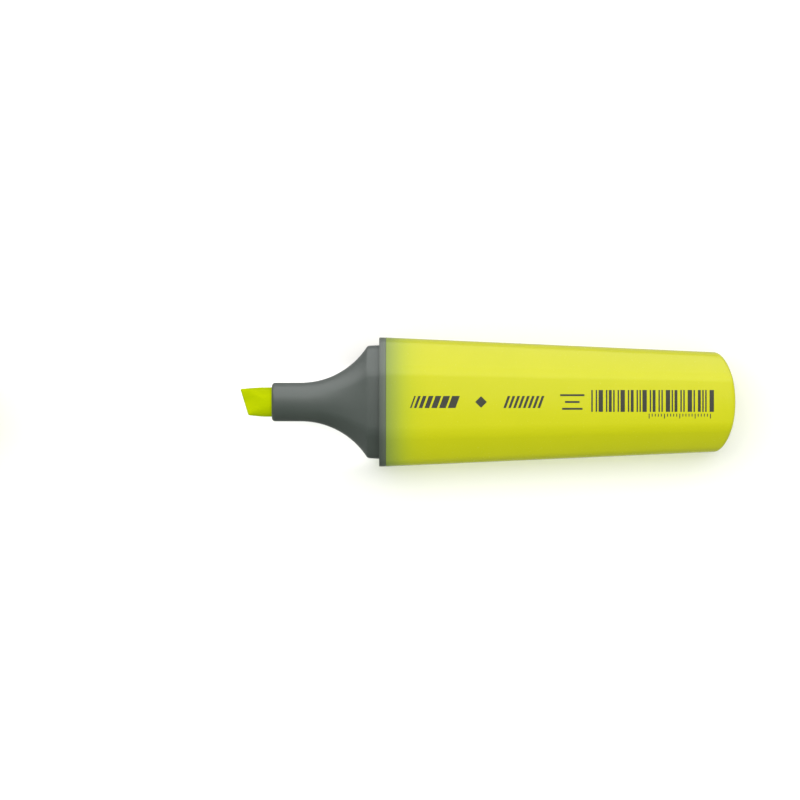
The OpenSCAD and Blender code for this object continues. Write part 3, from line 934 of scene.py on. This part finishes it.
def finish_named(
    name, tint, shade, grain, stretch=(1, 1, 1), depth=0.0, rough=(0.3, 0.4), **constants
):
    """A material whose colour drifts between tint and shade, with a bump of a given
    grain size and depth in metres. Returns it with its nodes, links and colour ramp."""
    made = bpy.data.materials.new(name)
    made.use_nodes = True
    nodes, links = made.node_tree.nodes, made.node_tree.links
    shader = nodes["Principled BSDF"]
    for socket, value in constants.items():
        shader.inputs[socket.replace("_", " ")].default_value = value
    place = nodes.new("ShaderNodeTexCoord")
    spread = nodes.new("ShaderNodeMapping")
    spread.inputs["Scale"].default_value = stretch
    links.new(place.outputs["Object"], spread.inputs["Vector"])

    drift = nodes.new("ShaderNodeTexNoise")
    drift.inputs["Scale"].default_value = DRIFT / grain
    drift.inputs["Detail"].default_value = DRIFT_DETAIL
    links.new(spread.outputs["Vector"], drift.inputs["Vector"])
    colours = nodes.new("ShaderNodeValToRGB")
    for element, position, colour in zip(
        colours.color_ramp.elements, DRIFT_ENDS, (shade, tint)
    ):
        element.position = position
        element.color = (*colour, 1)
    links.new(drift.outputs["Fac"], colours.inputs["Fac"])
    links.new(colours.outputs["Color"], shader.inputs["Base Color"])

    fine = nodes.new("ShaderNodeTexNoise")
    fine.inputs["Scale"].default_value = 1 / grain
    fine.inputs["Detail"].default_value = FINE_DETAIL
    links.new(spread.outputs["Vector"], fine.inputs["Vector"])
    gloss = nodes.new("ShaderNodeMapRange")
    gloss.inputs["To Min"].default_value, gloss.inputs["To Max"].default_value = rough
    links.new(fine.outputs["Fac"], gloss.inputs["Value"])
    links.new(gloss.outputs["Result"], shader.inputs["Roughness"])
    bump = nodes.new("ShaderNodeBump")
    bump.inputs["Distance"].default_value = depth
    bump.inputs["Strength"].default_value = BUMP
    links.new(fine.outputs["Fac"], bump.inputs["Height"])
    links.new(bump.outputs["Normal"], shader.inputs["Normal"])
    return made, nodes, links, colours


def coat(piece, made):
    """Gives a piece one material."""
    piece.data.materials.clear()
    piece.data.materials.append(made)


# %% [markdown]
# The yellow plastic lets some light through. Over the first few millimetres of the
# barrel the grey spigot inside dulls it to a greenish tone, which fades out where the
# spigot ends: that is the barrel's own look. The rear edge of the grey collar gets a
# painted glow instead: its colour is made lighter and yellower, as painted light that
# stands in for yellow light passed on by the barrel. Both are gradients along the pen
# in the base colour. The cap is the same plastic with nothing grey behind it, so it has
# neither.

# %% A gradient along the pen
def toned_along_x(nodes, links, colours, start, end, tones):
    """Runs the base colour through tones, given as (share of the way, colour), from
    start to end along X, and blends it into the finish's own drifting colour."""
    place = nodes.new("ShaderNodeTexCoord")
    axes = nodes.new("ShaderNodeSeparateXYZ")
    links.new(place.outputs["Object"], axes.inputs["Vector"])
    fade = nodes.new("ShaderNodeMapRange")
    fade.inputs["From Min"].default_value = start
    fade.inputs["From Max"].default_value = end
    links.new(axes.outputs["X"], fade.inputs["Value"])
    ramp = nodes.new("ShaderNodeValToRGB")
    ramp.color_ramp.interpolation = "B_SPLINE"
    for position, colour in tones[1:-1]:
        ramp.color_ramp.elements.new(position)
    for element, (position, colour) in zip(ramp.color_ramp.elements, tones):
        element.position = position
        element.color = (*colour, 1)
    links.new(fade.outputs["Result"], ramp.inputs["Fac"])
    blend = nodes.new("ShaderNodeMix")
    blend.data_type = "RGBA"
    links.new(fade.outputs["Result"], blend.inputs["Factor"])
    links.new(ramp.outputs["Color"], blend.inputs["A"])
    links.new(colours.outputs["Color"], blend.inputs["B"])
    links.new(blend.outputs["Result"], nodes["Principled BSDF"].inputs["Base Color"])


# %% Fluorescent plastic
YELLOW = (0.49, 0.495, 0.004)
YELLOW_SHADE = (0.475, 0.485, 0.003)
SPIGOT_TONES = (
    (0.0, (0.192, 0.258, 0.048)),
    (0.23, (0.272, 0.346, 0.034)),
    (0.37, (0.330, 0.400, 0.022)),
    (0.54, (0.390, 0.450, 0.012)),
    (1.0, YELLOW),
)
SPIGOT_FADE_L = 10 * MM

plastic = dict(grain=0.35 * MM, depth=0.003 * MM, rough=(0.22, 0.30), Specular_IOR_Level=0.32)
cap_plastic = finish_named("fluorescent_plastic_cap", YELLOW, YELLOW_SHADE, **plastic)[0]
barrel_plastic, *parts = finish_named(
    "fluorescent_plastic_barrel", YELLOW, YELLOW_SHADE, **plastic
)
toned_along_x(*parts, front_x, front_x + SPIGOT_FADE_L, SPIGOT_TONES)
coat(barrel, barrel_plastic)
coat(cap, cap_plastic)
print("yellow finishes:", barrel_plastic.name, cap_plastic.name)

# %% Grey plastic, felt and the hidden parts
GREY = (0.053, 0.063, 0.059)
GREY_SHADE = (0.047, 0.057, 0.053)
# Painted light: the collar's rear edge is coloured lighter and yellower, standing in for light
# passed on by the barrel.
COLLAR_PAINTED_GLOW = ((0.0, (0.095, 0.116, 0.080)), (0.6, (0.072, 0.087, 0.073)), (1.0, GREY))
grey_plastic, *parts = finish_named(
    "grey_plastic", GREY, GREY_SHADE, grain=0.3 * MM, depth=0.004 * MM,
    rough=(0.36, 0.44), Specular_IOR_Level=0.5,
)
# Paints the collar's glow into the grey, from the barrel's front to the shoulder.
toned_along_x(*parts, front_x, collar_x - SHOULDER_L / 4, COLLAR_PAINTED_GLOW)
nib_finish = finish_named(
    "nib_felt", (0.42, 0.50, 0.0005), (0.34, 0.43, 0.0), grain=0.12 * MM,
    stretch=(0.15, 1, 1), depth=0.03 * MM, rough=(0.75, 0.95), Specular_IOR_Level=0.02,
)[0]
ink_fibre = finish_named(
    "ink_fibre", (0.55, 0.62, 0.02), (0.42, 0.50, 0.01), grain=0.1 * MM,
    stretch=(0.05, 1, 1), depth=0.03 * MM, rough=(0.8, 0.95), Specular_IOR_Level=0.2,
)[0]
clear_film = finish_named(
    "clear_film", (0.80, 0.83, 0.72), (0.76, 0.80, 0.68), grain=0.8 * MM, depth=0.01 * MM,
    rough=(0.08, 0.16), Transmission_Weight=0.85, IOR=1.5,
)[0]
natural_plastic = finish_named(
    "natural_plastic", (0.74, 0.76, 0.70), (0.68, 0.71, 0.64), grain=0.4 * MM,
    depth=0.004 * MM, rough=(0.32, 0.42), Specular_IOR_Level=0.45,
)[0]
print_ink = finish_named(
    "print_ink", (0.036, 0.038, 0.029), (0.031, 0.033, 0.024), grain=0.08 * MM,
    depth=0.003 * MM, rough=(0.45, 0.6), Specular_IOR_Level=0.3,
)[0]
coat(marks, print_ink)
coat(nose, grey_plastic)
coat(nib, nib_finish)
for node, made in (
    ("ink_reservoir", ink_fibre), ("reservoir_film", clear_film), ("inner_cap", natural_plastic)
):
    coat(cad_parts[node], made)
    print(node, "has", made.name)

# %% [markdown]
# ## What each piece stands for
# The imported model keeps its own solids for weight and collision. Each finished piece
# hides the solid that it stands for, and rides on the body that moves it, so that the
# cap can slide along the pen. The printed marks stand for no solid and only ride along.

# %% Ride and replace
for piece, body, node, slot in (
    (barrel, "pen", "barrel", "yellow_plastic"),
    (nose, "pen", "nose_section", "grey_plastic"),
    (nib, "pen", "nib", "nib_felt"),
    (cap, "cap", "cap", "yellow_plastic"),
):
    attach(piece, body)
    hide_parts(node)
    print(piece.name, "stands for", node, "on the body", body)
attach(marks, "pen")

# %% [markdown]
# ## Studio
# The pen lies on a white sheet. A wide soft box above the +Y side and a soft sun almost
# overhead shade the forms. The sun casts no shadow, which keeps the shadows as faint as
# on a light table. A tall panel on the +Y side is seen only in reflections: it puts the
# pale sheen on the bevel that faces it. A greenish fill on the -Y side does the
# opposite: it lights the faces there, but is never reflected in them. Area lights are
# set by how bright they look, so `light_area` works out their power.

# %% Floor
FLOOR_SIZE = 6
FLOOR_GAP = 0.02 * MM
bpy.ops.object.select_all(action="DESELECT")
bpy.ops.mesh.primitive_plane_add(size=FLOOR_SIZE, location=(0, 0, -FLOOR_GAP))
floor = new_piece("floor")
white = finish_named(
    "white_floor", (0.82, 0.82, 0.82), (0.81, 0.81, 0.81), grain=2 * MM, rough=(0.5, 0.6),
    Specular_IOR_Level=0.1,
)[0]
coat(floor, white)
floor.visible_glossy = False
print("floor:", FLOOR_SIZE, "m wide")

# %% Lights
KEY_TINT = (1.0, 0.96, 0.93)
SUN_TILT = 12
SUN_SPREAD = 30
SUN_POWER = 1.0
BOX_AT = (0, 0.55, 1.4)
BOX_SIZE = (2.4, 1.1)
BOX_RADIANCE = 2.35
PANEL_AT = (0, 0.6, 0.58)
PANEL_TILT = -90
PANEL_SIZE = (2.0, 1.5)
PANEL_RADIANCE = 2.4
FILL_AT = (0, -0.6, 0.35)
FILL_TILT = 70
FILL_SIZE = (2.0, 0.6)
FILL_RADIANCE = 0.5
FILL_TINT = (0.7, 1.0, 0.6)


def light_area(place, tilt, wide, high, radiance, turn=0.0, tint=(1, 1, 1)):
    """Adds a rectangular light, facing down unless it is tilted, by its radiance."""
    bpy.ops.object.light_add(
        type="AREA", location=place, rotation=(math.radians(tilt), 0, math.radians(turn))
    )
    lamp = bpy.context.active_object
    lamp.data.shape = "RECTANGLE"
    lamp.data.size = wide
    lamp.data.size_y = high
    lamp.data.energy = radiance * math.pi * wide * high
    lamp.data.color = tint
    lamp.visible_camera = False
    return lamp


bpy.ops.object.light_add(type="SUN", rotation=(math.radians(-SUN_TILT), 0, 0))
sun = bpy.context.active_object
sun.data.energy = SUN_POWER
sun.data.angle = math.radians(SUN_SPREAD)
sun.data.color = KEY_TINT
sun.visible_glossy = False
sun.data.use_shadow = False
soft_box = light_area(BOX_AT, 0, *BOX_SIZE, BOX_RADIANCE, tint=KEY_TINT)
soft_box.visible_glossy = False
panel = light_area(PANEL_AT, PANEL_TILT, *PANEL_SIZE, PANEL_RADIANCE)
panel.visible_diffuse = False
fill = light_area(FILL_AT, FILL_TILT, *FILL_SIZE, FILL_RADIANCE, tint=FILL_TINT)
fill.visible_glossy = False
print("lights in W:", [round(lamp.data.energy, 2) for lamp in (soft_box, panel, fill)])

# %% [markdown]
# A pale sky fills in from all round. It is dimmed towards -Y, as if a grey card stood
# on that side, so that the glossy flanks that look that way have something dark to
# reflect.

# %% Sky
SKY = 0.62
SKY_CARD = 0.2
CARD_FROM = -0.2
CARD_FULL = -0.9
SKY_TINT = (0.96, 1.0, 0.97, 1)
world = bpy.data.worlds.new("pale_sky")
bpy.context.scene.world = world
world.use_nodes = True
nodes, links = world.node_tree.nodes, world.node_tree.links
nodes["Background"].inputs["Color"].default_value = SKY_TINT
direction = nodes.new("ShaderNodeTexCoord")
axes = nodes.new("ShaderNodeSeparateXYZ")
links.new(direction.outputs["Generated"], axes.inputs["Vector"])
dimmed = nodes.new("ShaderNodeMapRange")
dimmed.interpolation_type = "SMOOTHSTEP"
dimmed.inputs["From Min"].default_value = CARD_FULL
dimmed.inputs["From Max"].default_value = CARD_FROM
dimmed.inputs["To Min"].default_value = SKY * SKY_CARD
dimmed.inputs["To Max"].default_value = SKY
links.new(axes.outputs["Y"], dimmed.inputs["Value"])
links.new(dimmed.outputs["Result"], nodes["Background"].inputs["Strength"])
print("sky strength:", SKY, "and", round(SKY * SKY_CARD, 3), "on the dimmed side")

# %% [markdown]
# Fluorescent plastic passes some light on, so the shadow beside the barrel is yellow.
# Cycles would need many samples to find that light through the shell. A weak, narrow
# yellow light under the overhanging bevel, facing the floor, stands in for it.

# %% Light that comes through the barrel
THROUGH_IN = 2.9 * MM
THROUGH_UP = 2.2 * MM
THROUGH_W = 3.4 * MM
THROUGH_L = 0.97 * (bow_x - front_x)
THROUGH_TILT = -35
THROUGH_RADIANCE = 0.5
THROUGH_TINT = (0.9, 1.0, 0.05)
middle_x = (front_x + bow_x) / 2
through = light_area(
    (middle_x, THROUGH_IN - half_w_at(middle_x), THROUGH_UP), THROUGH_TILT, THROUGH_L,
    THROUGH_W, THROUGH_RADIANCE, turn=math.degrees(BARREL_TAPER), tint=THROUGH_TINT,
)
through.visible_glossy = False
print(f"light beside the barrel: {THROUGH_L / MM:.1f} mm long")

# %% [markdown]
# The thin nose stands clear of the sheet. A low, wide light under it, which faces the
# sheet and is never seen itself, keeps the sheet white there.

# %% Light under the nose
UNDER_UP = 1.5 * MM
UNDER_Y = -3 * MM
UNDER_AHEAD = 1 * MM
UNDER_W = 20 * MM
UNDER_RADIANCE = 0.55
nose_l = collar_x - nib_low.x
under = light_area(
    ((collar_x + nib_low.x) / 2 - UNDER_AHEAD, UNDER_Y, UNDER_UP), 0, nose_l, UNDER_W,
    UNDER_RADIANCE,
)
under.visible_glossy = False
print(f"light under the nose: {nose_l / MM:.1f} mm long")

# %% [markdown]
# ## Camera
# The camera looks straight down from far off through a long lens, so that the pen
# shows almost no perspective. The lens follows from the width that is to fill the view
# at the height of the pen's middle.

# %% Camera
CAMERA_UP = 1.2
CAMERA_X = front_x + 2.9 * MM
CAMERA_Y = 0.41 * MM
SENSOR_W = 36
VIEW_W = 165.5 * MM
bpy.ops.object.camera_add(location=(CAMERA_X, CAMERA_Y, CAMERA_UP), rotation=(0, 0, 0))
camera = bpy.context.active_object
camera.data.sensor_width = SENSOR_W
camera.data.lens = SENSOR_W * (CAMERA_UP - axis_z) / VIEW_W
bpy.context.scene.camera = camera
bpy.context.scene.view_settings.view_transform = "Standard"
print("focal length:", round(camera.data.lens, 1), "mm")
